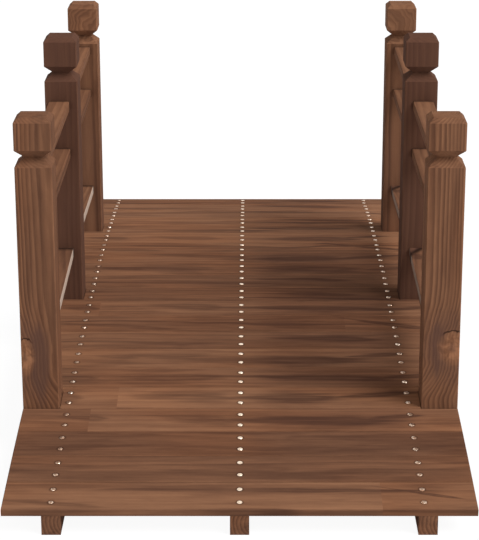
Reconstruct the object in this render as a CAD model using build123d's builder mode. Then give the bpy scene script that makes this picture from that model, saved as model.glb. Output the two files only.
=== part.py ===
from build123d import *

import math
import os

# Small arched garden bridge of softwood: three arched stringers, transverse deck boards that follow
# the arc, and a low railing of square posts and rails on both sides.
# Millimetres. The origin lies on the ground under the middle of the bridge, +Y runs along the
# bridge, +X to the right of someone who walks that way, and +Z is up.

# Stringers: arched beams that stand on two flat feet
stringer_length = 1697.0
stringer_width = 30.0
stringer_end_height = 32.0
crown_rise = 56.0
foot_length = 120.0
underside_rise = 31.0

# Deck
deck_width = 740.0
board_count = 21
board_thickness = 12.0
board_gap = 1.5
board_edge = 1.2
board_seat = 0.1

# Posts: square, with a chamfered head over a neck that is cut by a V groove all round
post_size = 62.0
post_length = 585.0
post_edge = 1.5
boards_before_post = 4
post_clearance = 1.0
top_chamfer = 8.0
head_height = 46.0
groove_height = 29.0
groove_depth = 16.0

# Rails between the posts: two level ones, and a lower one that runs along the deck
rail_width = 38.0
rail_thickness = 18.0
rail_edge = 2.0
rail_inset = 8.0
top_rail_height = 496.0
middle_rail_height = 404.0
lower_rail_height = 105.0

# The arc that the stringers' upper edge follows, with its centre far below the bridge
half_length = stringer_length / 2
arc_radius = (half_length**2 + crown_rise**2) / (2 * crown_rise)
arc_centre = stringer_end_height + crown_rise - arc_radius
deck_radius = arc_radius + board_seat + board_thickness

# The boards share the arc from end to end
deck_arc = 2 * arc_radius * math.asin(half_length / arc_radius)
board_pitch = (deck_arc + board_gap) / board_count
board_width = board_pitch - board_gap

# Each end post stands against the far edge of the last whole board in front of it
post_front_arc = deck_arc / 2 - boards_before_post * board_pitch
post_front = deck_radius * math.sin(post_front_arc / arc_radius)
end_post_y = post_front - post_clearance - post_size / 2
post_x = (deck_width - post_size) / 2
post_rows = {"front": -end_post_y, "middle": 0.0, "back": end_post_y}
post_feet = {"front": 0.0, "middle": underside_rise, "back": 0.0}

# The outer stringers lie against the inner faces of the posts
outer_stringer_x = deck_width / 2 - post_size - stringer_width / 2
rail_x = deck_width / 2 - rail_inset - rail_width / 2
sides = {"left": -1, "right": 1}


def deck_height(y):
    """Height of the walking surface above the ground at a place along the bridge."""
    return arc_centre + math.sqrt(deck_radius**2 - y**2)


def board_plane(number):
    """Plane of a board's underside, square to the arc, for boards numbered from the front."""
    angle = (-deck_arc / 2 + board_width / 2 + number * board_pitch) / arc_radius
    normal = Vector(0, math.sin(angle), math.cos(angle))
    seat = Vector(0, 0, arc_centre) + normal * (arc_radius + board_seat)
    return Plane(origin=seat, x_dir=(1, 0, 0), z_dir=normal)


def make_stringer():
    """One arched beam on the centre line, cut from a plank set on edge."""
    with BuildPart() as stringer:
        with BuildSketch(Plane.YZ):
            with BuildLine():
                Line((-half_length, 0), (-half_length, stringer_end_height))
                ThreePointArc(
                    (-half_length, stringer_end_height),
                    (0, stringer_end_height + crown_rise),
                    (half_length, stringer_end_height),
                )
                Line((half_length, stringer_end_height), (half_length, 0))
                Line((half_length, 0), (half_length - foot_length, 0))
                ThreePointArc(
                    (half_length - foot_length, 0),
                    (0, underside_rise),
                    (foot_length - half_length, 0),
                )
                Line((foot_length - half_length, 0), (-half_length, 0))
            make_face()
        extrude(amount=stringer_width / 2, both=True)
    return stringer.part


def make_board(number):
    """One deck board with eased upper edges, notched where posts pass its ends."""
    with BuildPart() as board:
        with BuildSketch(board_plane(number)):
            Rectangle(deck_width, board_width)
        extrude(amount=board_thickness)
        upper_edges = board.faces().sort_by(Axis.Z)[-1].edges()
        chamfer(upper_edges, length=board_edge)
        slot_depth = post_size + post_clearance
        slot_width = post_size + 2 * post_clearance
        slot_x = deck_width / 2 - slot_depth / 2
        slot_places = [(side * slot_x, y) for side in sides.values() for y in post_rows.values()]
        with BuildSketch(Plane.XY):
            with Locations(*slot_places):
                Rectangle(slot_depth, slot_width)
        extrude(amount=deck_height(0) + board_thickness, mode=Mode.SUBTRACT)
    return board.part


def post_profile():
    """Half outline of a post from its axis outwards, foot at height zero."""
    half = post_size / 2
    neck = half - groove_depth
    head_bottom = post_length - top_chamfer - head_height
    groove_middle = head_bottom - groove_height / 2
    shoulder = head_bottom - groove_height
    return [
        (half, 0),
        (half, shoulder),
        (neck, groove_middle),
        (half, head_bottom),
        (half, post_length - top_chamfer),
        (half - top_chamfer, post_length),
    ]


def make_post():
    """One post on the Z axis: the same outline cut from two sides, so that the corners are mitred."""
    right = post_profile()
    left = [(-x, z) for x, z in reversed(right)]
    with BuildPart() as post:
        with BuildSketch(Plane.XZ):
            with BuildLine():
                Polyline(*right, *left, close=True)
            make_face()
        extrude(amount=post_size / 2, both=True)
        with BuildSketch(Plane.YZ):
            with BuildLine():
                Polyline(*right, *left, close=True)
            make_face()
        extrude(amount=post_size / 2, both=True, mode=Mode.INTERSECT)
        upright_edges = post.edges().filter_by(Axis.Z)
        chamfer(upright_edges, length=post_edge)
    return post.part


def make_rail(middle_height, end_height):
    """One rail of the back bay, on the centre line, with the given top heights at its two posts."""
    start = post_size / 2
    stop = end_post_y - post_size / 2
    with BuildPart() as rail:
        with BuildSketch(Plane.YZ):
            with BuildLine():
                Polyline(
                    (start, middle_height),
                    (stop, end_height),
                    (stop, end_height - rail_thickness),
                    (start, middle_height - rail_thickness),
                    close=True,
                )
            make_face()
        extrude(amount=rail_width / 2, both=True)
        long_edges = rail.edges().sort_by(SortBy.LENGTH)[-4:]
        fillet(long_edges, radius=rail_edge)
    return rail.part


def save(part, name):
    """Label a finished piece and write it to its own file."""
    part.label = name
    export_step(part, f"parts/{name}.step")


os.makedirs("parts", exist_ok=True)

# Stringers under the deck
stringer = make_stringer()
stringer_places = {"left": -outer_stringer_x, "centre": 0.0, "right": outer_stringer_x}
for place, x in stringer_places.items():
    save(Pos(x, 0, 0) * stringer, f"stringer_{place}")

# Deck boards, numbered from the front end
for number in range(board_count):
    save(make_board(number), f"deck_board_{number + 1:02d}")

# Six like posts: the end ones stand on the ground, the middle ones hang level with the arch
post = make_post()
for side, sign in sides.items():
    for row, y in post_rows.items():
        save(Pos(sign * post_x, y, post_feet[row]) * post, f"post_{side}_{row}")

# Rails, made for the back bay and mirrored for the front one
lower_ends = [deck_height(y) + lower_rail_height for y in (post_size / 2, end_post_y - post_size / 2)]
rail_tops = {
    "top": (top_rail_height, top_rail_height),
    "middle": (middle_rail_height, middle_rail_height),
    "lower": tuple(lower_ends),
}
for level, (middle_height, end_height) in rail_tops.items():
    back_rail = make_rail(middle_height, end_height)
    front_rail = mirror(back_rail, about=Plane.XZ)
    for side, sign in sides.items():
        save(Pos(sign * rail_x, 0, 0) * back_rail, f"rail_{level}_{side}_back")
        save(Pos(sign * rail_x, 0, 0) * front_rail, f"rail_{level}_{side}_front")
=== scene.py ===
import math
import random

import bmesh
import bpy
from mathutils import Matrix, Vector


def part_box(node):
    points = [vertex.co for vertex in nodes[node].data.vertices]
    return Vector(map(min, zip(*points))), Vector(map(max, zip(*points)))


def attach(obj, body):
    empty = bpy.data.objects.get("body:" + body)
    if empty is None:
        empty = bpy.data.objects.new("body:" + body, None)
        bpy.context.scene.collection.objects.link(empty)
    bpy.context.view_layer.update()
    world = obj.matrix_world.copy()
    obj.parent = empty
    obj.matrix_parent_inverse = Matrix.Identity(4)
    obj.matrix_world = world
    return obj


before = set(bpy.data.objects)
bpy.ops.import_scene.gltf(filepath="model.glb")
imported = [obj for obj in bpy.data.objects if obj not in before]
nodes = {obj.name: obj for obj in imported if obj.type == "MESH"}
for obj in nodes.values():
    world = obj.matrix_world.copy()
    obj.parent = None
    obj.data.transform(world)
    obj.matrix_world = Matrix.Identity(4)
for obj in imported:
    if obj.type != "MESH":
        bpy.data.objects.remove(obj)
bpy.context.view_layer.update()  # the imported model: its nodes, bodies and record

print("frame loaded:", len(nodes), "nodes")


# Small helpers that keep the shader code short

def addNode(tree, kind, **options):
    node = tree.nodes.new("ShaderNode" + kind)
    for name, value in options.items():
        setattr(node, name, value)
    return node


def feed(tree, socket, value):
    if isinstance(value, bpy.types.NodeSocket):
        tree.links.new(value, socket)
    else:
        socket.default_value = value


def calc(tree, operation, *values, clamp=False):
    node = addNode(tree, "Math", operation=operation, use_clamp=clamp)
    for socket, value in zip(node.inputs, values):
        feed(tree, socket, value)
    return node.outputs["Value"]


def calcVector(tree, operation, *values):
    node = addNode(tree, "VectorMath", operation=operation)
    for socket, value in zip(node.inputs, values):
        feed(tree, socket, value)
    return node.outputs["Value" if operation == "LENGTH" else "Vector"]


def splitVector(tree, value):
    node = addNode(tree, "SeparateXYZ")
    feed(tree, node.inputs["Vector"], value)
    return node.outputs["X"], node.outputs["Y"], node.outputs["Z"]


def joinVector(tree, x, y, z):
    node = addNode(tree, "CombineXYZ")
    for socket, value in zip(node.inputs, (x, y, z)):
        feed(tree, socket, value)
    return node.outputs["Vector"]


def noise(tree, place, scale=1.0, detail=2.0, roughness=0.5, distortion=0.0, output="Fac"):
    node = addNode(tree, "TexNoise", noise_dimensions="3D")
    feed(tree, node.inputs["Vector"], place)
    feed(tree, node.inputs["Scale"], scale)
    feed(tree, node.inputs["Detail"], detail)
    feed(tree, node.inputs["Roughness"], roughness)
    feed(tree, node.inputs["Distortion"], distortion)
    return node.outputs[output]


def smooth(tree, value, low, high, toLow=0.0, toHigh=1.0):
    node = addNode(tree, "MapRange", interpolation_type="SMOOTHSTEP")
    for name, given in (("Value", value), ("From Min", low), ("From Max", high),
                        ("To Min", toLow), ("To Max", toHigh)):
        feed(tree, node.inputs[name], given)
    return node.outputs["Result"]


def mixColours(tree, factor, first, second, mode="MIX"):
    node = addNode(tree, "Mix", data_type="RGBA", blend_type=mode)
    feed(tree, node.inputs[0], factor)
    feed(tree, node.inputs[6], first)
    feed(tree, node.inputs[7], second)
    return node.outputs[2]


def fromSrgb(red, green, blue):
    def linear(value):
        value /= 255
        return value / 12.92 if value <= 0.04045 else ((value + 0.055) / 1.055) ** 2.4
    return (linear(red), linear(green), linear(blue), 1.0)


def startGroup(name, inputs, outputs):
    group = bpy.data.node_groups.new(name, "ShaderNodeTree")
    for label, kind, value in inputs:
        socket = group.interface.new_socket(label, in_out="INPUT", socket_type="NodeSocket" + kind)
        socket.default_value = value
    for label, kind in outputs:
        group.interface.new_socket(label, in_out="OUTPUT", socket_type="NodeSocket" + kind)
    source = group.nodes.new("NodeGroupInput")
    target = group.nodes.new("NodeGroupOutput")
    return group, source.outputs, target.inputs


def useGroup(tree, group, values):
    node = tree.nodes.new("ShaderNodeGroup")
    node.node_tree = group
    for name, value in values.items():
        feed(tree, node.inputs[name], value)
    return node.outputs


# Timber: every pattern is worked out in the log's own space, with X along the grain and the pith
# on that axis, so that faces, ends and chamfers of one piece show the same rings

def buildRings():
    tree, given, out = startGroup(
        "annualRings",
        [("Place", "Vector", (0, 0, 0)), ("Spacing", "Float", 0.006), ("Wander", "Float", 0.005),
         ("Ripple", "Float", 0.5), ("Push", "Float", 0.0), ("Seed", "Float", 0.0)],
        [("Ring", "Float"), ("Band", "Float")],
    )
    x, y, z = splitVector(tree, given["Place"])
    alongGrain = joinVector(tree, calc(tree, "MULTIPLY", x, 2.4), given["Seed"], 0.0)
    drift = calcVector(tree, "SUBTRACT", noise(tree, alongGrain, detail=1.5, output="Color"), (0.5, 0.5, 0.5))
    _, driftY, driftZ = splitVector(tree, drift)
    reach = calc(tree, "MULTIPLY", given["Wander"], 4.0)
    radius = calcVector(tree, "LENGTH", joinVector(
        tree, 0.0,
        calc(tree, "MULTIPLY_ADD", driftY, reach, y),
        calc(tree, "MULTIPLY_ADD", driftZ, reach, z),
    ))
    rippled = calcVector(tree, "MULTIPLY", given["Place"], (5.0, 50.0, 50.0))
    ripple = noise(tree, calcVector(tree, "ADD", rippled, joinVector(tree, given["Seed"], 0.0, 0.0)), detail=2.0)
    count = calc(tree, "DIVIDE", calc(tree, "ADD", radius, given["Push"]), given["Spacing"])
    rippleSize = calc(tree, "MULTIPLY", calc(tree, "SUBTRACT", ripple, 0.5), 2.2)
    count = calc(tree, "MULTIPLY_ADD", rippleSize, given["Ripple"], count)
    ring = calc(tree, "FRACT", count)
    late = calc(tree, "MULTIPLY", smooth(tree, ring, 0.1, 0.75), smooth(tree, ring, 0.82, 1.0, 1.0, 0.0))
    band = noise(tree, joinVector(tree, calc(tree, "MULTIPLY", count, 0.41), given["Seed"], 3.0), detail=2.0)
    feed(tree, out["Ring"], calc(tree, "MULTIPLY", late, smooth(tree, band, 0.3, 0.62, 0.35, 1.0)))
    feed(tree, out["Band"], band)
    return tree


def buildFibre():
    tree, given, out = startGroup(
        "woodFibre",
        [("Place", "Vector", (0, 0, 0)), ("Breadth", "Float", 1.0), ("Seed", "Float", 0.0)],
        [("Fibre", "Float"), ("Streak", "Float"), ("Smudge", "Float"), ("Warmth", "Float")],
    )
    moved = calcVector(tree, "ADD", given["Place"], joinVector(tree, given["Seed"], 0.0, 0.0))
    fine = noise(tree, calcVector(tree, "MULTIPLY", moved, (22.0, 900.0, 900.0)), detail=2.0)
    coarse = noise(tree, calcVector(tree, "MULTIPLY", moved, (5.0, 170.0, 170.0)), detail=4.0, roughness=0.6)
    feed(tree, out["Fibre"], calc(tree, "MULTIPLY_ADD", coarse, 0.65, calc(tree, "MULTIPLY", fine, 0.35)))
    widened = calcVector(tree, "DIVIDE", moved, joinVector(tree, 1.0, given["Breadth"], given["Breadth"]))
    streak = noise(tree, calcVector(tree, "MULTIPLY", widened, (3.4, 75.0, 75.0)), detail=3.0, distortion=0.35)
    mottle = noise(tree, calcVector(tree, "MULTIPLY", moved, (26.0, 80.0, 80.0)), detail=4.0, roughness=0.72)
    feed(tree, out["Streak"], calc(tree, "MULTIPLY_ADD", mottle, 0.35, calc(tree, "MULTIPLY", streak, 0.65)))
    smudge = noise(tree, calcVector(tree, "MULTIPLY", widened, (4.2, 42.0, 42.0)), detail=4.0,
                   roughness=0.55, distortion=0.6)
    feed(tree, out["Smudge"], smooth(tree, smudge, 0.5, 0.68))
    warmth = noise(tree, calcVector(tree, "MULTIPLY", widened, (3.0, 16.0, 16.0)), detail=1.0)
    feed(tree, out["Warmth"], smooth(tree, warmth, 0.38, 0.64))
    return tree


def buildKnot():
    tree, given, out = startGroup(
        "branchKnot",
        [("Place", "Vector", (0, 0, 0)), ("Centre", "Vector", (0, 0, 0)), ("Size", "Vector", (0.03, 0.012, 0.012)),
         ("Swell", "Float", 0.02)],
        [("Push", "Float"), ("Core", "Float"), ("Eye", "Float"), ("Grain", "Float"), ("Crack", "Float"),
         ("Halo", "Float")],
    )
    offset = calcVector(tree, "DIVIDE", calcVector(tree, "SUBTRACT", given["Place"], given["Centre"]), given["Size"])
    wobble = calcVector(tree, "SUBTRACT", noise(tree, offset, 1.3, output="Color"), (0.5, 0.5, 0.5))
    far = calcVector(tree, "LENGTH", calcVector(tree, "ADD", offset, calcVector(tree, "MULTIPLY", wobble, (0.7, 0.7, 0.7))))
    spread = calc(tree, "EXPONENT", calc(tree, "MULTIPLY", calc(tree, "MULTIPLY", far, far), -0.3))
    above = splitVector(tree, offset)[0]
    feed(tree, out["Push"], calc(tree, "MULTIPLY", spread, given["Swell"]))
    feed(tree, out["Core"], smooth(tree, far, 0.3, 1.25, 1.0, 0.0))
    feed(tree, out["Eye"], smooth(tree, far, 0.08, 0.34, 1.0, 0.0))
    feed(tree, out["Grain"], smooth(tree, noise(tree, offset, 1.7, detail=3.0, distortion=0.8), 0.35, 0.65))
    edge = calc(tree, "MULTIPLY", smooth(tree, far, 0.92, 0.99), smooth(tree, far, 1.0, 1.09, 1.0, 0.0))
    feed(tree, out["Crack"], calc(tree, "MULTIPLY", edge, smooth(tree, above, 0.62, 0.9)))
    halo = calc(tree, "MULTIPLY", smooth(tree, far, 0.8, 1.1), smooth(tree, far, 1.2, 2.6, 1.0, 0.0))
    feed(tree, out["Halo"], halo)
    return tree


def buildFlame():
    tree, given, out = startGroup(
        "darkFlame",
        [("Place", "Vector", (0, 0, 0)), ("Centre", "Vector", (0, 0, 0)), ("HalfLength", "Float", 0.1),
         ("HalfWidth", "Float", 0.012), ("Slope", "Float", 0.0), ("Wave", "Float", 0.0), ("Before", "Float", 0.0)],
        [("Mask", "Float")],
    )
    x, y, _ = splitVector(tree, calcVector(tree, "SUBTRACT", given["Place"], given["Centre"]))
    sway = noise(tree, calcVector(tree, "MULTIPLY", given["Place"], (5.0, 3.0, 3.0)), detail=1.0)
    y = calc(tree, "MULTIPLY_ADD", calc(tree, "SUBTRACT", sway, 0.5), given["Wave"], y)
    y = calc(tree, "MULTIPLY_ADD", x, given["Slope"], y)
    # the width falls with the square of the way along it, more slowly at its drawn-out end
    along = calc(tree, "DIVIDE", x, given["HalfLength"])
    along = calc(tree, "MULTIPLY_ADD", calc(tree, "ABSOLUTE", along), 0.35, calc(tree, "MULTIPLY", along, 0.95))
    across = calc(tree, "ABSOLUTE", calc(tree, "DIVIDE", y, given["HalfWidth"]))
    ragged = noise(tree, calcVector(tree, "MULTIPLY", given["Place"], (9.0, 120.0, 120.0)), detail=4.0)
    far = calc(tree, "MULTIPLY_ADD", along, along, across)
    far = calc(tree, "MULTIPLY_ADD", calc(tree, "SUBTRACT", ragged, 0.5), 1.7, far)
    mask = calc(tree, "MULTIPLY", smooth(tree, far, 0.15, 1.45, 1.0, 0.0), smooth(tree, far, 0.0, 0.5, 0.6, 1.0))
    feed(tree, out["Mask"], calc(tree, "MAXIMUM", given["Before"], mask))
    return tree


# lighter arrises: partly wear of the stain, partly painted highlight where the edges catch the light
def buildWearAndHighlight():
    tree, given, out = startGroup(
        "edgeWearAndHighlight",
        [("Place", "Vector", (0, 0, 0)), ("Across", "Float", 0.0), ("Up", "Float", 0.0), ("Reach", "Float", 0.06)],
        [("Mask", "Float")],
    )
    far = calc(tree, "ADD", calc(tree, "ABSOLUTE", given["Across"]), calc(tree, "ABSOLUTE", given["Up"]))
    near = smooth(tree, calc(tree, "SUBTRACT", given["Reach"], far), 0.0, 0.0013, 1.0, 0.0)
    broken = smooth(tree, noise(tree, given["Place"], 38.0, detail=3.0), 0.36, 0.6, 0.3, 1.0)
    feed(tree, out["Mask"], calc(tree, "MULTIPLY", near, broken))
    return tree


stainColours = {
    "dark": fromSrgb(70, 47, 37),
    "middle": fromSrgb(114, 79, 59),
    "light": fromSrgb(150, 107, 79),
    "warm": (1.05, 0.98, 0.92, 1.0),
    "smudge": fromSrgb(65, 43, 35),
    "heartwood": fromSrgb(92, 66, 56),
    "darkHeart": fromSrgb(87, 60, 50),
    "knot": fromSrgb(160, 112, 82),
    "knotGrain": fromSrgb(116, 78, 56),
    # this colour is also the painted shade round nail heads and where rails meet posts
    "crackAndShade": fromSrgb(34, 22, 18),
    "wornAndHighlight": fromSrgb(166, 120, 90),
    "bare": fromSrgb(194, 174, 158),
}


def buildStain():
    tree, given, out = startGroup(
        "brownStain",
        [("Ring", "Float", 0.0), ("Band", "Float", 0.5), ("Fibre", "Float", 0.5), ("Streak", "Float", 0.5),
         ("Smudge", "Float", 0.0), ("Warmth", "Float", 0.5), ("RingDepth", "Float", 0.5),
         ("BandDepth", "Float", 0.5), ("StreakDepth", "Float", 0.7), ("FibreDepth", "Float", 0.4),
         ("SmudgeDepth", "Float", 0.5), ("Tone", "Float", 0.0)],
        [("Color", "Color"), ("Shade", "Float")],
    )
    # one value from dark to light gathers the tone, the growth rings and the streaks
    value = calc(tree, "ADD", 0.54, calc(tree, "MULTIPLY", given["Tone"], 0.22))
    for name in ("Band", "Streak", "Fibre"):
        swing = calc(tree, "SUBTRACT", given[name], 0.5)
        value = calc(tree, "MULTIPLY_ADD", swing, given[name + "Depth"], value)
    value = calc(tree, "SUBTRACT", value, calc(tree, "MULTIPLY", given["Ring"], given["RingDepth"]))
    ramp = addNode(tree, "ValToRGB")
    ramp.color_ramp.elements[0].position = 0.05
    ramp.color_ramp.elements[0].color = stainColours["dark"]
    ramp.color_ramp.elements[1].position = 0.95
    ramp.color_ramp.elements[1].color = stainColours["light"]
    middle = ramp.color_ramp.elements.new(0.5)
    middle.color = stainColours["middle"]
    feed(tree, ramp.inputs["Fac"], value)
    warmed = mixColours(tree, given["Warmth"], ramp.outputs["Color"], stainColours["warm"], "MULTIPLY")
    darkened = calc(tree, "MULTIPLY", given["Smudge"], given["SmudgeDepth"])
    feed(tree, out["Color"], mixColours(tree, darkened, warmed, stainColours["smudge"]))
    feed(tree, out["Shade"], value)
    return tree


annualRings = buildRings()
woodFibre = buildFibre()
branchKnot = buildKnot()
darkFlame = buildFlame()
edgeWearAndHighlight = buildWearAndHighlight()
brownStain = buildStain()


def startMaterial(name):
    material = bpy.data.materials.new(name)
    material.use_nodes = True
    tree = material.node_tree
    return material, tree, tree.nodes["Principled BSDF"]


def objectPlace(tree):
    return addNode(tree, "TexCoord").outputs["Object"]


def logPlace(tree, origin, turn=(0, 0, 0)):
    mapping = addNode(tree, "Mapping", vector_type="TEXTURE")
    mapping.inputs["Location"].default_value = origin
    mapping.inputs["Rotation"].default_value = turn
    tree.links.new(objectPlace(tree), mapping.inputs["Vector"])
    return mapping.outputs["Vector"]


def addFlames(tree, place, flames):
    mask = 0.0
    for centre, halfLength, halfWidth, slope, wave in flames:
        mask = useGroup(tree, darkFlame, {
            "Place": place, "Centre": centre, "HalfLength": halfLength, "HalfWidth": halfWidth,
            "Slope": slope, "Wave": wave, "Before": mask})["Mask"]
    return mask


def finishTimber(tree, shader, place, finish, seed, tone=0.0, push=0.0, flames=None, knot=None, layers=()):
    rings = useGroup(tree, annualRings, {
        "Place": place, "Spacing": finish["ringSpacing"], "Wander": finish["wander"], "Ripple": finish["ripple"],
        "Push": knot["Push"] if knot else push, "Seed": seed})
    fibre = useGroup(tree, woodFibre, {"Place": place, "Breadth": finish["breadth"], "Seed": seed})
    stain = useGroup(tree, brownStain, {
        "Ring": rings["Ring"], "Band": rings["Band"], "Fibre": fibre["Fibre"], "Streak": fibre["Streak"],
        "Smudge": fibre["Smudge"], "Warmth": calc(tree, "MULTIPLY", fibre["Warmth"], finish["warmth"]),
        "RingDepth": finish["ringDepth"],
        "BandDepth": finish["bandDepth"], "StreakDepth": finish["streakDepth"],
        "FibreDepth": finish["fibreDepth"], "SmudgeDepth": finish["smudgeDepth"], "Tone": tone})
    colour = stain["Color"]
    if flames is not None:
        patch = calc(tree, "MULTIPLY", flames, finish["flameDepth"])
        colour = mixColours(tree, patch, colour, stainColours[finish["flameTint"]])
    if knot:
        heart = mixColours(tree, knot["Grain"], stainColours["knotGrain"], stainColours["knot"])
        colour = mixColours(tree, calc(tree, "MULTIPLY", knot["Halo"], 0.4), colour, stainColours["heartwood"])
        colour = mixColours(tree, calc(tree, "MULTIPLY", knot["Core"], 0.88), colour, heart)
        colour = mixColours(tree, calc(tree, "MULTIPLY", knot["Eye"], 0.4), colour, stainColours["heartwood"])
        colour = mixColours(tree, calc(tree, "MULTIPLY", knot["Crack"], 0.85), colour, stainColours["crackAndShade"])
    for mask, strength, tint in layers:
        colour = mixColours(tree, calc(tree, "MULTIPLY", mask, strength), colour, stainColours[tint])
    tree.links.new(colour, shader.inputs["Base Color"])
    feed(tree, shader.inputs["Roughness"], smooth(tree, stain["Shade"], 0.1, 0.9, 0.95, 0.8))
    shader.inputs["Specular IOR Level"].default_value = 0.03
    bump = addNode(tree, "Bump")
    bump.inputs["Strength"].default_value = finish["relief"]
    bump.inputs["Distance"].default_value = 0.001
    feed(tree, bump.inputs["Height"], calc(tree, "MULTIPLY_ADD", rings["Ring"], -0.5, fibre["Fibre"]))
    tree.links.new(bump.outputs["Normal"], shader.inputs["Normal"])


def giveMaterial(name, material):
    nodes[name].data.materials.clear()
    nodes[name].data.materials.append(material)


# Deck boards: figured ones with dark flames, a few with one long dark line, and quiet ones

deck = {
    "boards": 21,
    "ringSpacing": 0.011,
    "wander": 0.008,
    "ripple": 0.5,
    "breadth": 2.0,
    "ringDepth": 0.16,
    "bandDepth": 0.4,
    "streakDepth": 0.6,
    "fibreDepth": 0.6,
    "smudgeDepth": 0.3,
    "flameDepth": 0.75,
    "flameShare": (0.68, 1.1),  # left and right of the middle
    "flameTint": "smudge",
    "warmth": 1.0,
    "relief": 0.2,
    "pithDepth": (0.03, 0.07),
    "pithOffset": (-0.03, 0.03),
    "toneSpread": 0.45,
    "paleBeyond": 14,
    "darkBefore": 5,
    "sideLightAndShade": (0.3, -0.28),  # left and right: painted light on the left half and painted shade on the right half of most boards, partly for the railing's shadow and partly for darker heartwood
    "paleSideLightAndShade": (0.14, -0.06),
    "litRightEnd": 0.62,  # and painted light at their right ends, where the sun falls in under the lower rail
    "evenTone": {1: (0.7, 1.15), 2: (-0.46, -0.46), 3: (-0.4, -0.4)},  # the front boards have no such cast
    "boardShare": {2: 0.45, 3: 0.5},  # how strongly a board's flames show
    "figured": (4, 5, 6, 7, 10, 13, 14, 16),
    "lined": (9, 15, 19),
    # where a board changes its wood, and how much lighter it is beyond
    "gluedAt": {1: (0.222, -0.1), 4: (-0.254, 0.4), 5: (-0.211, 0.4), 9: (0.195, 0.4), 10: (-0.272, 0.4)},
    "farSideTone": {1: -0.75},
    "edgeFaceShade": (0.05, -0.35),  # painted shade on the boards' front and back faces: left and right
}
nails = {
    "rows": {"left": -0.294, "centre": 0.0, "right": 0.287},
    "acrossBoard": (0.25, 0.735),
    "headRadius": {"left": 0.0042, "centre": 0.0046, "right": 0.0048},
    "steel": {"left": "dull", "centre": "bright", "right": "dull"},
    "rimHeight": 0.0003,
    "domeHeight": 0.0005,
    "sides": 12,
    "leanSpread": 0.06,
    "markRadius": 0.0085,
}


def walkingFace(node):
    mesh = nodes[node].data
    flat = [face for face in mesh.polygons if face.normal.z > 0.97]
    corners = [mesh.vertices[index].co for face in flat for index in face.vertices]
    low = min(corners, key=lambda corner: corner.y)
    high = max(corners, key=lambda corner: corner.y)
    middle = Vector((0.0, (low.y + high.y) / 2, (low.z + high.z) / 2))
    along = Vector((0.0, high.y - low.y, high.z - low.z))
    return middle, along


def drawFlames(number, middle, chance):
    def spot(x, y, halfLength, halfWidth, slope=0.0, wave=0.0):
        centre = (x + chance.uniform(-0.045, 0.045), middle.y + y + chance.uniform(-0.008, 0.008), 0.0)
        grown = chance.uniform(0.7, 1.3)
        return centre, halfLength * grown, halfWidth * chance.uniform(0.7, 1.25), slope, wave
    if number == 1:
        return [
            spot(0.12, 0.0155, 0.26, 0.009, 0.0, 0.012),
            spot(0.31, 0.0, 0.05, 0.005, 0.27, 0.01),
            spot(-0.25, -0.02, 0.07, 0.006, 0.12, 0.01),
            ((0.045, middle.y - 0.04, 0.0), 0.075, 0.004, 0.0, 0.0),  # on its front edge
        ]
    if number in deck["figured"]:
        return [
            spot(0.145, -0.004, 0.13, 0.021, 0.02, 0.014),
            spot(-0.08, 0.004, 0.08, 0.016, chance.uniform(-0.05, 0.16), 0.012),
            spot(chance.choice((-0.29, -0.24, -0.2)), 0.002, 0.04, 0.014, 0.1),
            spot(0.3, 0.008, 0.06, 0.01, -0.15, 0.01),
        ]
    if number in deck["lined"]:
        return [
            spot(0.04, 0.012, 0.45, 0.006, 0.0, 0.05),
            spot(0.32, -0.01, 0.09, 0.009, 0.35, 0.02),
            spot(-0.24, -0.022, 0.1, 0.009, 0.12, 0.02),
        ]
    return [
        spot(chance.uniform(-0.25, 0.25), -0.018, 0.22, 0.008, 0.02, 0.03),
        spot(chance.uniform(0.05, 0.25), 0.006, 0.1, 0.014, 0.04, 0.02),
    ]


# a dark ring round each nail head: partly stain round the nail, partly painted shade for the head's contact shadow
def markNails(tree, place, middle, along):
    x, y, _ = splitVector(tree, place)
    sideways = 1.0
    for row in nails["rows"].values():
        sideways = calc(tree, "MINIMUM", sideways, calc(tree, "ABSOLUTE", calc(tree, "SUBTRACT", x, row)))
    lengthways = 1.0
    for share in nails["acrossBoard"]:
        line = middle.y + along.y * (share - 0.5)
        lengthways = calc(tree, "MINIMUM", lengthways, calc(tree, "ABSOLUTE", calc(tree, "SUBTRACT", y, line)))
    far = calcVector(tree, "LENGTH", joinVector(tree, sideways, lengthways, 0.0))
    return smooth(tree, far, nails["headRadius"]["centre"], nails["markRadius"], 1.0, 0.0)


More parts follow.
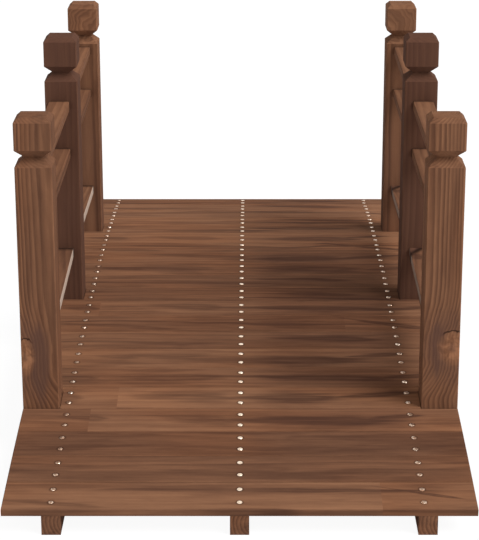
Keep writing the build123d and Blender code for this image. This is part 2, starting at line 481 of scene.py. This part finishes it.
def finishBoards():
    chance = random.Random(11)
    for number in range(1, deck["boards"] + 1):
        name = f"deck_board_{number:02d}"
        middle, along = walkingFace(name)
        material, tree, shader = startMaterial(f"stained_{name}")
        pith = (0.0, middle.y + chance.uniform(*deck["pithOffset"]), middle.z - chance.uniform(*deck["pithDepth"]))
        place = logPlace(tree, pith)
        onBoard = objectPlace(tree)
        seed = 10.0 + 3.7 * number
        tone = chance.uniform(-deck["toneSpread"], deck["toneSpread"])
        if number in deck["figured"]:
            tone += 0.3
        if number > deck["paleBeyond"]:
            tone += 0.3
        if number < deck["darkBefore"]:
            tone -= 0.2
        if number in deck["gluedAt"]:
            joint, lighter = deck["gluedAt"][number]
            past = calc(tree, "GREATER_THAN", splitVector(tree, place)[0], joint)
            place = calcVector(tree, "ADD", place, joinVector(
                tree, calc(tree, "MULTIPLY", past, 1.9), calc(tree, "MULTIPLY", past, 0.013), 0.0))
            tone = calc(tree, "MULTIPLY_ADD", past, lighter, tone)
        flames = addFlames(tree, onBoard, drawFlames(number, middle, chance))
        leftShare, rightShare = (deck["boardShare"].get(number, 1.0) * share for share in deck["flameShare"])
        across = splitVector(tree, onBoard)[0]
        share = smooth(tree, across, -0.03, 0.07, leftShare, rightShare)
        flames = calc(tree, "MULTIPLY", flames, share, clamp=True)
        if number in deck["evenTone"]:
            tone = calc(tree, "ADD", tone, smooth(tree, across, -0.02, 0.16, *deck["evenTone"][number]))
        else:
            # painted light on the left half and painted shade on the right half, partly darker heartwood
            sideLightAndShade = deck["paleSideLightAndShade"] if number > deck["paleBeyond"] else deck["sideLightAndShade"]
            tone = calc(tree, "ADD", tone, smooth(tree, across, 0.0, 0.09, *sideLightAndShade))
            # painted light at the right end of the board, where the sun falls in under the lower rail
            tone = calc(tree, "ADD", tone, smooth(tree, across, 0.26, 0.31, 0.0, deck["litRightEnd"]))
        fromMiddle = calc(tree, "SUBTRACT", splitVector(tree, onBoard)[1], middle.y)
        if number in deck["farSideTone"]:  # the far side is darker, and more of it towards the right end
            slanted = calc(tree, "MULTIPLY_ADD", across, 0.045, fromMiddle)
            farSide = smooth(tree, slanted, -0.003, 0.016, 0.0, deck["farSideTone"][number])
            tone = calc(tree, "ADD", tone, farSide)
        # the faces towards front and back get painted shade, a tone of their own in place of the board's
        level = splitVector(tree, addNode(tree, "NewGeometry").outputs["True Normal"])[1]
        edgeFaceMask = smooth(tree, calc(tree, "ABSOLUTE", level), 0.6, 0.9)
        edgeFaceShade = smooth(tree, across, -0.1, 0.2, *deck["edgeFaceShade"])
        tone = calc(tree, "MULTIPLY_ADD", edgeFaceMask, calc(tree, "SUBTRACT", edgeFaceShade, tone), tone)
        # lighter arrises: partly wear, partly painted highlight
        wornAndHighlight = useGroup(tree, edgeWearAndHighlight, {"Place": onBoard, "Across": fromMiddle, "Reach": along.y / 2 + 0.0012})["Mask"]
        wornAndHighlight = calc(tree, "MULTIPLY", wornAndHighlight, calc(tree, "SUBTRACT", 1.0, edgeFaceMask))
        layers = ((wornAndHighlight, 0.4, "wornAndHighlight"), (markNails(tree, onBoard, middle, along), 0.45, "crackAndShade"))
        finishTimber(tree, shader, place, deck, seed, tone, flames=flames, layers=layers)
        giveMaterial(name, material)


finishBoards()
print("deck boards finished")


# Posts: the pith of the end ones lies well behind the front face, near its inner edge

posts = {
    "wander": 0.0025,
    "ripple": 0.22,
    "breadth": 1.0,
    "streakDepth": 0.6,
    "fibreDepth": 0.35,
    "smudgeDepth": 0.3,
    "flameDepth": 0.85,
    "flameTint": "heartwood",
    "warmth": 0.6,
    "relief": 0.35,
    "edge": 0.0015,
    "wornAndHighlightStrength": 0.22,
    "topRingFade": 0.5,
    "undersideRingFade": 0.95,
    # painted shade on what faces down
    "undersideShade": -0.45,
    # the back posts' lower part is darker, partly heartwood and partly painted shade
    "heartwoodAndShadeReach": (0.26, 0.46),
    "backCasts": (-0.5, 0.55),
}
postRows = {
    # the front row's inner-face tone on the right is painted light on a face turned from the sun
    "front": {"ringSpacing": 0.0042, "ringDepth": 0.36, "bandDepth": 0.25, "tone": 0.3, "pithBack": 0.02,
              "seed": 4.0, "innerTone": {"left": 0.0, "right": 0.45}},
    "middle": {"ringSpacing": 0.005, "ringDepth": 0.16, "bandDepth": 0.2, "streakDepth": 0.4, "smudgeDepth": 0.2,
               "tone": -1.0, "pithInset": -0.03, "pithBack": 0.05, "seed": 9.0, "flameTint": "darkHeart",
               "flameDepth": 0.6, "wornAndHighlightStrength": 0.06},
    "back": {"ringSpacing": 0.0085, "ringDepth": 0.38, "bandDepth": 0.3, "tone": 0.5, "pithInset": 0.008,
             "pithBack": -0.012, "seed": 14.0, "innerTone": {"left": 0.6, "right": 0.0}},
}
# what is each front post's own: the knot at its outer front edge, the grain below it, and its tones
postKnots = {
    "left": {"height": 0.172, "inset": 0.006, "size": (0.034, 0.03, 0.018), "swell": 0.014,
             "bend": 0.022, "crowding": 0.66, "patch": (0.008, -0.001, 0.07, 0.018), "pithInset": 0.026, "tone": -0.08,
             "footTone": 0.22, "headTone": -0.2},
    "right": {"height": 0.188, "inset": 0.013, "size": (0.032, 0.03, 0.025), "swell": 0.016,
              "bend": 0.024, "crowding": 0.62, "patch": (0.012, -0.006, 0.045, 0.015), "pithInset": 0.04, "tone": 0.18,
              "footTone": 0.24, "headTone": 0.12},
}


# in the back posts' heads the rings stand closer, and above a slanting line they lean inwards
postHeads = {"neck": (0.5, 0.53), "ringSpacing": 0.0078, "ringShare": 0.62, "pithShift": 0.027,
             "bendHeight": 0.5502, "bendSlope": 0.7, "bendRounding": 0.012, "lean": 0.588, "uneven": 0.02,
             "tone": {"left": 0.0, "right": 0.22}}


def finishPosts():
    for side, sign in (("left", -1), ("right", 1)):
        for row, wood in postRows.items():
            name = f"post_{side}_{row}"
            low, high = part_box(name)
            centre = (low + high) / 2
            half = (high.x - low.x) / 2
            material, tree, shader = startMaterial(f"stained_{name}")
            pithInset = postKnots[side]["pithInset"] if row == "front" else wood["pithInset"]
            origin = (centre.x - sign * pithInset, centre.y + wood["pithBack"], 0.0)
            place = logPlace(tree, origin, turn=(0.0, math.radians(-90), 0.0))
            onPost = objectPlace(tree)
            knot = None
            flames = None
            x, y, _ = splitVector(tree, onPost)
            if row == "back":
                upright, depth, across = splitVector(tree, place)
                # lower down the back posts are darker: partly heartwood, partly painted shade
                flames = smooth(tree, upright, *posts["heartwoodAndShadeReach"], 0.3, 0.0)
                outward = calc(tree, "MULTIPLY", calc(tree, "SUBTRACT", x, centre.x), sign)
                above = calc(tree, "MULTIPLY_ADD", outward, -postHeads["bendSlope"], upright)
                above = calc(tree, "SMOOTH_MAX", calc(tree, "SUBTRACT", above, postHeads["bendHeight"]), 0.0,
                             postHeads["bendRounding"])
                uneven = calc(tree, "SUBTRACT", noise(tree, onPost, 45.0, detail=1.0), 0.5)
                moved = calc(tree, "MULTIPLY_ADD", uneven, postHeads["uneven"], postHeads["pithShift"])
                moved = calc(tree, "MULTIPLY", moved, smooth(tree, upright, *postHeads["neck"]))
                moved = calc(tree, "MULTIPLY_ADD", above, postHeads["lean"], moved)
                place = joinVector(tree, upright, depth, calc(tree, "MULTIPLY_ADD", moved, -sign, across))
            if row == "middle":
                broad = useGroup(tree, woodFibre, {"Place": place, "Breadth": 3.0, "Seed": 70.0})["Streak"]
                flames = smooth(tree, broad, 0.2, 0.6, 0.75, 1.0)
            if row == "front":
                spot = postKnots[side]
                knotX = centre.x + sign * (half - spot["inset"])
                knot = useGroup(tree, branchKnot, {
                    "Place": place, "Centre": (spot["height"], low.y - origin[1], origin[0] - knotX),
                    "Size": spot["size"], "Swell": spot["swell"]})
                upright, depth, across = splitVector(tree, place)
                above, aside, halfLength, halfWidth = spot["patch"]
                zone = (spot["height"] + above, origin[0] - centre.x - sign * aside, 0.0)
                flames = addFlames(tree, joinVector(tree, upright, across, depth),
                                   [(zone, halfLength, halfWidth, 0.0, 0.01)])
                # below the knot the grain runs off towards the inner side
                bent, straight = spot["height"] - 0.1, spot["height"] - 0.015
                bend = smooth(tree, upright, bent, straight, -sign * spot["bend"], 0.0)
                # and its rings stand further apart
                edge = origin[0] - centre.x - sign * half
                spread = smooth(tree, upright, bent, straight, spot["crowding"], 1.0)
                across = calc(tree, "MULTIPLY_ADD", calc(tree, "SUBTRACT", across, edge), spread, edge)
                place = joinVector(tree, upright, depth, calc(tree, "ADD", across, bend))
            # lighter arrises: partly wear, partly painted highlight
            wornAndHighlight = useGroup(tree, edgeWearAndHighlight, {
                "Place": onPost, "Across": calc(tree, "SUBTRACT", x, centre.x),
                "Up": calc(tree, "SUBTRACT", y, centre.y), "Reach": 2 * half - posts["edge"]})["Mask"]
            wood = {**posts, **wood}
            # rings show less on end grain, and what faces down gets painted shade
            level, _, slant = splitVector(tree, addNode(tree, "NewGeometry").outputs["True Normal"])
            upward = calc(tree, "MAXIMUM", slant, 0.0)
            downward = smooth(tree, slant, -0.4, -0.05, 1.0, 0.0)
            shown = calc(tree, "MULTIPLY_ADD", upward, -wood["topRingFade"], 1.0)
            shown = calc(tree, "MULTIPLY_ADD", downward, -wood["undersideRingFade"], shown)
            wood["ringDepth"] = calc(tree, "MULTIPLY", shown, wood["ringDepth"])
            tone = calc(tree, "MULTIPLY_ADD", downward, wood["undersideShade"], wood["tone"])
            if row == "back":
                wood["ringSpacing"] = smooth(
                    tree, upright, *postHeads["neck"], wood["ringSpacing"], postHeads["ringSpacing"])
                fade = smooth(tree, upright, *postHeads["neck"], 1.0, postHeads["ringShare"])
                wood["ringDepth"] = calc(tree, "MULTIPLY", fade, wood["ringDepth"])
                cast = smooth(tree, outward, -0.022, -0.014, *posts["backCasts"])
                below = smooth(tree, upright, 0.38, 0.46, 1.0, 0.0)
                tone = calc(tree, "MULTIPLY_ADD", cast, below, tone)
                tone = calc(tree, "ADD", tone, smooth(tree, upright, *postHeads["neck"], 0.0, postHeads["tone"][side]))
            # the inner faces get a tone of their own; on the right front post it is painted light on a face turned from
            # the sun
            if row != "middle":
                inner = smooth(tree, calc(tree, "MULTIPLY", level, -sign), 0.4, 0.9)
                tone = calc(tree, "MULTIPLY_ADD", inner, wood["innerTone"][side], tone)
            if row == "front":
                tone = calc(tree, "ADD", tone, postKnots[side]["tone"])
                tone = calc(tree, "ADD", tone, smooth(tree, upright, 0.1, 0.3, spot["footTone"], 0.0))
                tone = calc(tree, "ADD", tone, smooth(tree, upright, 0.48, 0.54, 0.0, spot["headTone"]))
            finishTimber(tree, shader, place, wood, wood["seed"] + 0.5 * sign, tone,
                         flames=flames, knot=knot, layers=((wornAndHighlight, wood["wornAndHighlightStrength"], "wornAndHighlight"),))
            giveMaterial(name, material)


finishPosts()
print("posts finished")


# Rails

rails = {
    "ringSpacing": 0.007,
    "wander": 0.004,
    "ripple": 0.4,
    "breadth": 1.3,
    "ringDepth": 0.22,
    "bandDepth": 0.3,
    "streakDepth": 0.65,
    "fibreDepth": 0.35,
    "smudgeDepth": 0.25,
    "warmth": 0.3,
    "relief": 0.3,
    "tone": {"top": 0.5, "middle": 0.35, "lower": -0.1},
    "innerTone": -0.9,  # painted shade on the inner faces of the left middle rails
    "thickness": 0.018,
    "bareDepth": 0.0007,
    # on the right the pale inner face gets painted shade: less of it shows, and more weakly
    "bareReachShadedRight": {"left": 0.8, "right": 0.6},
    "bareLitLeftShadedRight": {"left": 0.85, "right": 0.5},
    "wornAndHighlightStrength": {"top": 0.12, "middle": 0.0},
    # painted shade at the rails' ends, for the contact shadow where they meet the posts
    "jointShadeReach": {"top": 0.011, "middle": 0.013, "lower": 0.02},
    "jointShadeStrength": 0.9,
    "askewReach": 0.034,
    "flameDepth": 0.8,
    "flameTint": "smudge",
}


def finishRails():
    for step, (level, tone) in enumerate(rails["tone"].items()):
        for side, sign in (("left", -1), ("right", 1)):
            for bay in ("front", "back"):
                name = f"rail_{level}_{side}_{bay}"
                low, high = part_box(name)
                centre = (low + high) / 2
                material, tree, shader = startMaterial(f"stained_{name}")
                place = logPlace(tree, (centre.x + sign * 0.02, 0.0, centre.z - 0.03), turn=(0.0, 0.0, math.radians(90)))
                seed = 20.0 + 5.0 * step + sign + (0.4 if bay == "front" else 0.0)
                onRail = objectPlace(tree)
                x, y, z = splitVector(tree, onRail)
                # painted shade where a rail meets its posts, for the contact shadow in the joint
                fromNear, fromFar = calc(tree, "SUBTRACT", y, low.y), calc(tree, "SUBTRACT", high.y, y)
                wedge = None
                if level == "lower" and side == "right":  # its far end is darker in a slanting wedge
                    lean = calc(tree, "MULTIPLY_ADD", calc(tree, "SUBTRACT", x, low.x), -1.4, rails["askewReach"])
                    past = calc(tree, "SUBTRACT", fromFar, calc(tree, "MAXIMUM", lean, 0.0))
                    wedge = smooth(tree, past, -0.002, 0.002, 1.0, 0.0)
                    fromFar = calc(tree, "ABSOLUTE", past)
                fromEnd = calc(tree, "MINIMUM", fromNear, fromFar)
                jointShade = smooth(tree, fromEnd, 0.0, rails["jointShadeReach"][level], 1.0, 0.0)
                flames = None
                if level == "lower":  # its inner face was sawn after staining and shows pale wood
                    rise = (high.z - low.z - rails["thickness"]) / (high.y - low.y)
                    rise = rise if bay == "front" else -rise
                    start = (low.z if bay == "front" else high.z - rails["thickness"]) + rails["thickness"]
                    top = calc(tree, "MULTIPLY_ADD", calc(tree, "SUBTRACT", y, low.y), rise, start)
                    innerFace = low.x if side == "right" else high.x
                    depth = calc(tree, "ABSOLUTE", calc(tree, "SUBTRACT", x, innerFace))
                    bare = smooth(tree, depth, 0.3 * rails["bareDepth"], 1.5 * rails["bareDepth"], 1.0, 0.0)
                    # painted shade on the right: the pale shows weaker and only on the upper part of a face turned from
                    # the sun
                    reach = rails["bareReachShadedRight"][side] * rails["thickness"]
                    upper = smooth(tree, calc(tree, "SUBTRACT", top, z), reach, 1.2 * reach, 1.0, 0.0)
                    layers = [(calc(tree, "MULTIPLY", bare, upper), rails["bareLitLeftShadedRight"][side], "bare")]
                    if side == "right":
                        flames = addFlames(tree, onRail, [
                            ((centre.x - 0.006, high.y - 0.05, 0.0), 0.02, 0.016, 0.25, 0.0),
                            ((centre.x + 0.012, centre.y - 0.04, 0.0), 0.013, 0.022, 0.0, 0.0)])
                else:
                    # lighter arrises: partly wear, partly painted highlight
                    wornAndHighlight = useGroup(tree, edgeWearAndHighlight, {
                        "Place": onRail, "Across": calc(tree, "SUBTRACT", x, centre.x),
                        "Up": calc(tree, "SUBTRACT", z, centre.z),
                        "Reach": (high.x - low.x + high.z - low.z) / 2 - 0.0012})["Mask"]
                    layers = [(wornAndHighlight, rails["wornAndHighlightStrength"][level], "wornAndHighlight")]
                if wedge:
                    layers.append((wedge, 0.7, "darkHeart"))
                layers.append((jointShade, rails["jointShadeStrength"], "crackAndShade"))
                cast = tone
                # painted shade on the inner face of the left middle rails and on its upper fillet
                if level == "middle" and side == "left":
                    facing = splitVector(tree, addNode(tree, "NewGeometry").outputs["True Normal"])[0]
                    cast = calc(tree, "MULTIPLY_ADD", smooth(tree, facing, 0.1, 0.6), rails["innerTone"], tone)
                finishTimber(tree, shader, place, rails, seed, cast, flames=flames, layers=layers)
                giveMaterial(name, material)


finishRails()
print("rails finished")


# Stringers

stringers = {
    "ringSpacing": 0.006,
    "wander": 0.004,
    "ripple": 0.4,
    "breadth": 1.2,
    "ringDepth": 0.3,
    "bandDepth": 0.3,
    "streakDepth": 0.6,
    "fibreDepth": 0.35,
    "smudgeDepth": 0.3,
    "warmth": 1.0,
    "relief": 0.3,
}


def finishStringers():
    for number, place in enumerate(("left", "centre", "right")):
        name = f"stringer_{place}"
        low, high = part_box(name)
        material, tree, shader = startMaterial(f"stained_{name}")
        grain = logPlace(tree, ((low.x + high.x) / 2 + 0.03, 0.0, 0.02), turn=(0.0, 0.0, math.radians(90)))
        finishTimber(tree, shader, grain, stringers, 50.0 + 4.0 * number, tone=-0.2)
        giveMaterial(name, material)


finishStringers()
print("stringers finished")


# Galvanised steel of the nails and screws

def buildZinc():
    tree, given, out = startGroup("zincSpangle", [("Place", "Vector", (0, 0, 0))], [("Dull", "Float"), ("Height", "Float")])
    cloud = noise(tree, given["Place"], 300.0, detail=3.0)
    feed(tree, out["Dull"], smooth(tree, cloud, 0.4, 0.6))
    feed(tree, out["Height"], noise(tree, given["Place"], 1500.0))
    return tree


zincSpangle = buildZinc()


def makeSteel(name, bright, dull, smoothest, roughest, weatheredEnd=None):
    material, tree, shader = startMaterial(name)
    zinc = useGroup(tree, zincSpangle, {"Place": objectPlace(tree)})
    shader.inputs["Metallic"].default_value = 1.0
    tarnish = zinc["Dull"]
    if weatheredEnd is not None:
        y = splitVector(tree, objectPlace(tree))[1]
        weathered = smooth(tree, y, weatheredEnd, weatheredEnd + 0.6, 0.25, 0.0)
        tarnish = calc(tree, "ADD", tarnish, weathered, clamp=True)
    tree.links.new(mixColours(tree, tarnish, bright, dull), shader.inputs["Base Color"])
    feed(tree, shader.inputs["Roughness"], smooth(tree, tarnish, 0.0, 1.0, smoothest, roughest))
    bump = addNode(tree, "Bump")
    bump.inputs["Strength"].default_value = 0.2
    bump.inputs["Distance"].default_value = 0.0002
    tree.links.new(zinc["Height"], bump.inputs["Height"])
    tree.links.new(bump.outputs["Normal"], shader.inputs["Normal"])
    return material


def addPiece(name, mesh, material, smoothBelow=35.0):
    for face in mesh.faces:
        face.smooth = True
    for edge in mesh.edges:
        if len(edge.link_faces) == 2:
            edge.smooth = edge.calc_face_angle(0.0) < math.radians(smoothBelow)
    data = bpy.data.meshes.new(name)
    mesh.to_mesh(data)
    mesh.free()
    data.materials.append(material)
    piece = bpy.data.objects.new(name, data)
    bpy.context.collection.objects.link(piece)
    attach(piece, "root")
    return piece


# Nails: two to a board over each stringer, with low domed heads

def topFace(parts, up):
    faces = {face for vert in parts for face in vert.link_faces}
    return max(faces, key=lambda face: face.calc_center_median().dot(up))


def finishNails():
    steels = {
        "bright": makeSteel("nail_steel_bright", fromSrgb(252, 232, 208), fromSrgb(226, 200, 174), 0.22, 0.42),
        "dull": makeSteel("nail_steel_dull", fromSrgb(255, 236, 214), fromSrgb(172, 134, 108), 0.22, 0.45, -0.85),
    }
    chance = random.Random(3)
    for row, x in nails["rows"].items():
        radius = nails["headRadius"][row]
        mesh = bmesh.new()
        for number in range(1, deck["boards"] + 1):
            middle, along = walkingFace(f"deck_board_{number:02d}")
            normal = Vector((1, 0, 0)).cross(along).normalized()
            for share in nails["acrossBoard"]:
                spot = middle + along * (share - 0.5)
                spot.x = x
                lean = Vector((chance.uniform(-1, 1), chance.uniform(-1, 1), 0)) * nails["leanSpread"]
                turn = (normal + lean).to_track_quat("Z", "Y").to_matrix().to_4x4()
                head = bmesh.ops.create_cone(
                    mesh, cap_ends=True, segments=nails["sides"], radius1=radius, radius2=radius * 0.9,
                    depth=nails["rimHeight"] * 2, matrix=Matrix.Translation(spot) @ turn)
                top = topFace(head["verts"], normal)
                bmesh.ops.inset_individual(mesh, faces=[top], thickness=radius * 0.35, depth=nails["domeHeight"] * 0.7)
                bmesh.ops.inset_individual(mesh, faces=[top], thickness=radius * 0.28, depth=nails["domeHeight"] * 0.3)
        addPiece(f"deck_nails_{row}", mesh, steels[nails["steel"][row]])


finishNails()
print("nails placed")


# Screws: two through each outer stringer into every post, with washers under their hexagon heads

screws = {
    "fromPostMiddle": 0.014,
    "height": {"front": 0.043, "middle": 0.06, "back": 0.043},
    "acrossFlats": 0.013,
    "headHeight": 0.0053,
    "washerRadius": 0.011,
    "washerHeight": 0.0016,
    "bevel": 0.0006,
}


def addDisc(mesh, place, sides, radius, low, height, bevel):
    disc = bmesh.ops.create_cone(
        mesh, cap_ends=True, segments=sides, radius1=radius, radius2=radius, depth=height,
        matrix=place @ Matrix.Translation((0, 0, low + height / 2)))
    up = place.to_3x3() @ Vector((0, 0, 1))
    rim = topFace(disc["verts"], up).edges
    bmesh.ops.bevel(mesh, geom=list(rim), offset=bevel, segments=2, profile=0.5, affect="EDGES", material=-1)


def finishScrews():
    steel = makeSteel("screw_steel", fromSrgb(196, 192, 186), fromSrgb(150, 146, 140), 0.35, 0.6)
    for side, sign in (("left", -1), ("right", 1)):
        mesh = bmesh.new()
        low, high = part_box(f"stringer_{side}")
        innerFace = high.x if side == "left" else low.x
        for row, height in screws["height"].items():
            postLow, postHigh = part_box(f"post_{side}_{row}")
            for step in (-1, 1):
                y = (postLow.y + postHigh.y) / 2 + step * screws["fromPostMiddle"]
                inward = Vector((-sign, 0, 0)).to_track_quat("Z", "Y").to_matrix().to_4x4()
                spin = Matrix.Rotation(math.radians(17 * step + 11 * height * 1000), 4, "Z")
                place = Matrix.Translation((innerFace, y, height)) @ inward @ spin
                washer = screws["washerHeight"]
                addDisc(mesh, place, 24, screws["washerRadius"], 0.0, washer, screws["bevel"] / 2)
                corner = screws["acrossFlats"] / 2 / math.cos(math.radians(30))
                addDisc(mesh, place, 6, corner, washer, screws["headHeight"], screws["bevel"])
        addPiece(f"post_screws_{side}", mesh, steel, 25.0)


finishScrews()
print("screws placed")


# Stage: pale floor, light and camera

stage = {
    "floorSize": 30.0,
    "floorTint": 0.68,
    "shadowShare": 0.12,
    "shadowReach": (0.95, 1.7),
    "underDeck": (0.37, 0.785),
    "underFade": 0.02,
    "underShare": 0.97,
    "bounce": 0.2,
    "glow": 1.06,
    "skyStrength": 0.31,
    "sunStrength": 3.1,
    "sunSpread": 40.0,
    "sunFrom": (0.6, -0.27, 0.74),
    "fillStrength": 0.6,
    "fillSpread": 50.0,
    "fillFrom": (-0.2, -0.9, 0.35),
}
cameraPlace = {
    "place": (0.0142, -3.5505, 1.3405),
    "tiltDown": 17.408,
    "focalLength": 127.74,
    "shift": (-0.0171, -0.07),
}


def makeFloor():
    mesh = bmesh.new()
    bmesh.ops.create_grid(mesh, x_segments=1, y_segments=1, size=stage["floorSize"] / 2)
    data = bpy.data.meshes.new("floor")
    mesh.to_mesh(data)
    mesh.free()
    floor = bpy.data.objects.new("floor", data)
    bpy.context.collection.objects.link(floor)
    material, tree, shader = startMaterial("pale_floor")
    tint = stage["floorTint"]
    shader.inputs["Base Color"].default_value = (tint, tint, tint, 1.0)
    shader.inputs["Roughness"].default_value = 0.9
    shader.inputs["Specular IOR Level"].default_value = 0.0
    shader.inputs["Emission Color"].default_value = (1.0, 1.0, 1.0, 1.0)
    shader.inputs["Emission Strength"].default_value = stage["bounce"]
    # what the camera sees: a white glow with a share of the lit floor near the bridge, for its shadow
    caught = addNode(tree, "BsdfDiffuse")
    caught.inputs["Color"].default_value = (0.95, 0.95, 0.95, 1.0)
    glow = addNode(tree, "Emission")
    glow.inputs["Strength"].default_value = stage["glow"]
    seen = addNode(tree, "MixShader")
    far = calcVector(tree, "LENGTH", calcVector(tree, "MULTIPLY", objectPlace(tree), (1.3, 1.0, 0.0)))
    near, gone = stage["shadowReach"]
    around = smooth(tree, far, near, gone, stage["shadowShare"], 0.0)
    x, y, _ = splitVector(tree, objectPlace(tree))
    beyondSide = calc(tree, "SUBTRACT", calc(tree, "ABSOLUTE", x), stage["underDeck"][0])
    beyondEnd = calc(tree, "SUBTRACT", calc(tree, "ABSOLUTE", y), stage["underDeck"][1])
    under = smooth(tree, calc(tree, "MAXIMUM", beyondSide, beyondEnd), -stage["underFade"], 0.0, stage["underShare"], 0.0)
    feed(tree, seen.inputs["Fac"], calc(tree, "MAXIMUM", around, under))
    tree.links.new(glow.outputs["Emission"], seen.inputs[1])
    tree.links.new(caught.outputs["BSDF"], seen.inputs[2])
    path = addNode(tree, "LightPath")
    above = addNode(tree, "MixShader")
    tree.links.new(path.outputs["Is Camera Ray"], above.inputs["Fac"])
    tree.links.new(shader.outputs["BSDF"], above.inputs[1])
    tree.links.new(seen.outputs["Shader"], above.inputs[2])
    # from below the floor is clear, so that the underside can be looked at
    side = addNode(tree, "NewGeometry")
    final = addNode(tree, "MixShader")
    clear = addNode(tree, "BsdfTransparent")
    tree.links.new(side.outputs["Backfacing"], final.inputs["Fac"])
    tree.links.new(above.outputs["Shader"], final.inputs[1])
    tree.links.new(clear.outputs["BSDF"], final.inputs[2])
    tree.links.new(final.outputs["Shader"], tree.nodes["Material Output"].inputs["Surface"])
    data.materials.append(material)


def makeLight():
    world = bpy.data.worlds.new("studio")
    bpy.context.scene.world = world
    world.use_nodes = True
    tree = world.node_tree
    background = tree.nodes["Background"]
    background.inputs["Color"].default_value = (1.0, 1.0, 1.0, 1.0)
    path = addNode(tree, "LightPath")
    shown = calc(tree, "MAXIMUM", path.outputs["Is Camera Ray"], path.outputs["Is Glossy Ray"])
    shown = calc(tree, "MAXIMUM", shown, path.outputs["Is Transmission Ray"])
    strength = calc(tree, "MULTIPLY_ADD", shown, 1.0 - stage["skyStrength"], stage["skyStrength"])
    tree.links.new(strength, background.inputs["Strength"])
    for name in ("sun", "fill"):
        lamp = bpy.data.lights.new(name, "SUN")
        lamp.energy = stage[name + "Strength"]
        lamp.angle = math.radians(stage[name + "Spread"])
        light = bpy.data.objects.new(name, lamp)
        light.rotation_euler = Vector(stage[name + "From"]).to_track_quat("Z", "Y").to_euler()
        bpy.context.collection.objects.link(light)


def makeCamera():
    data = bpy.data.cameras.new("camera")
    data.lens = cameraPlace["focalLength"]
    data.shift_x, data.shift_y = cameraPlace["shift"]
    camera = bpy.data.objects.new("camera", data)
    camera.location = cameraPlace["place"]
    camera.rotation_euler = (math.radians(90 - cameraPlace["tiltDown"]), 0.0, 0.0)
    bpy.context.collection.objects.link(camera)
    bpy.context.scene.camera = camera


makeFloor()
makeLight()
makeCamera()
bpy.context.scene.view_settings.view_transform = "Standard"
print("stage ready")
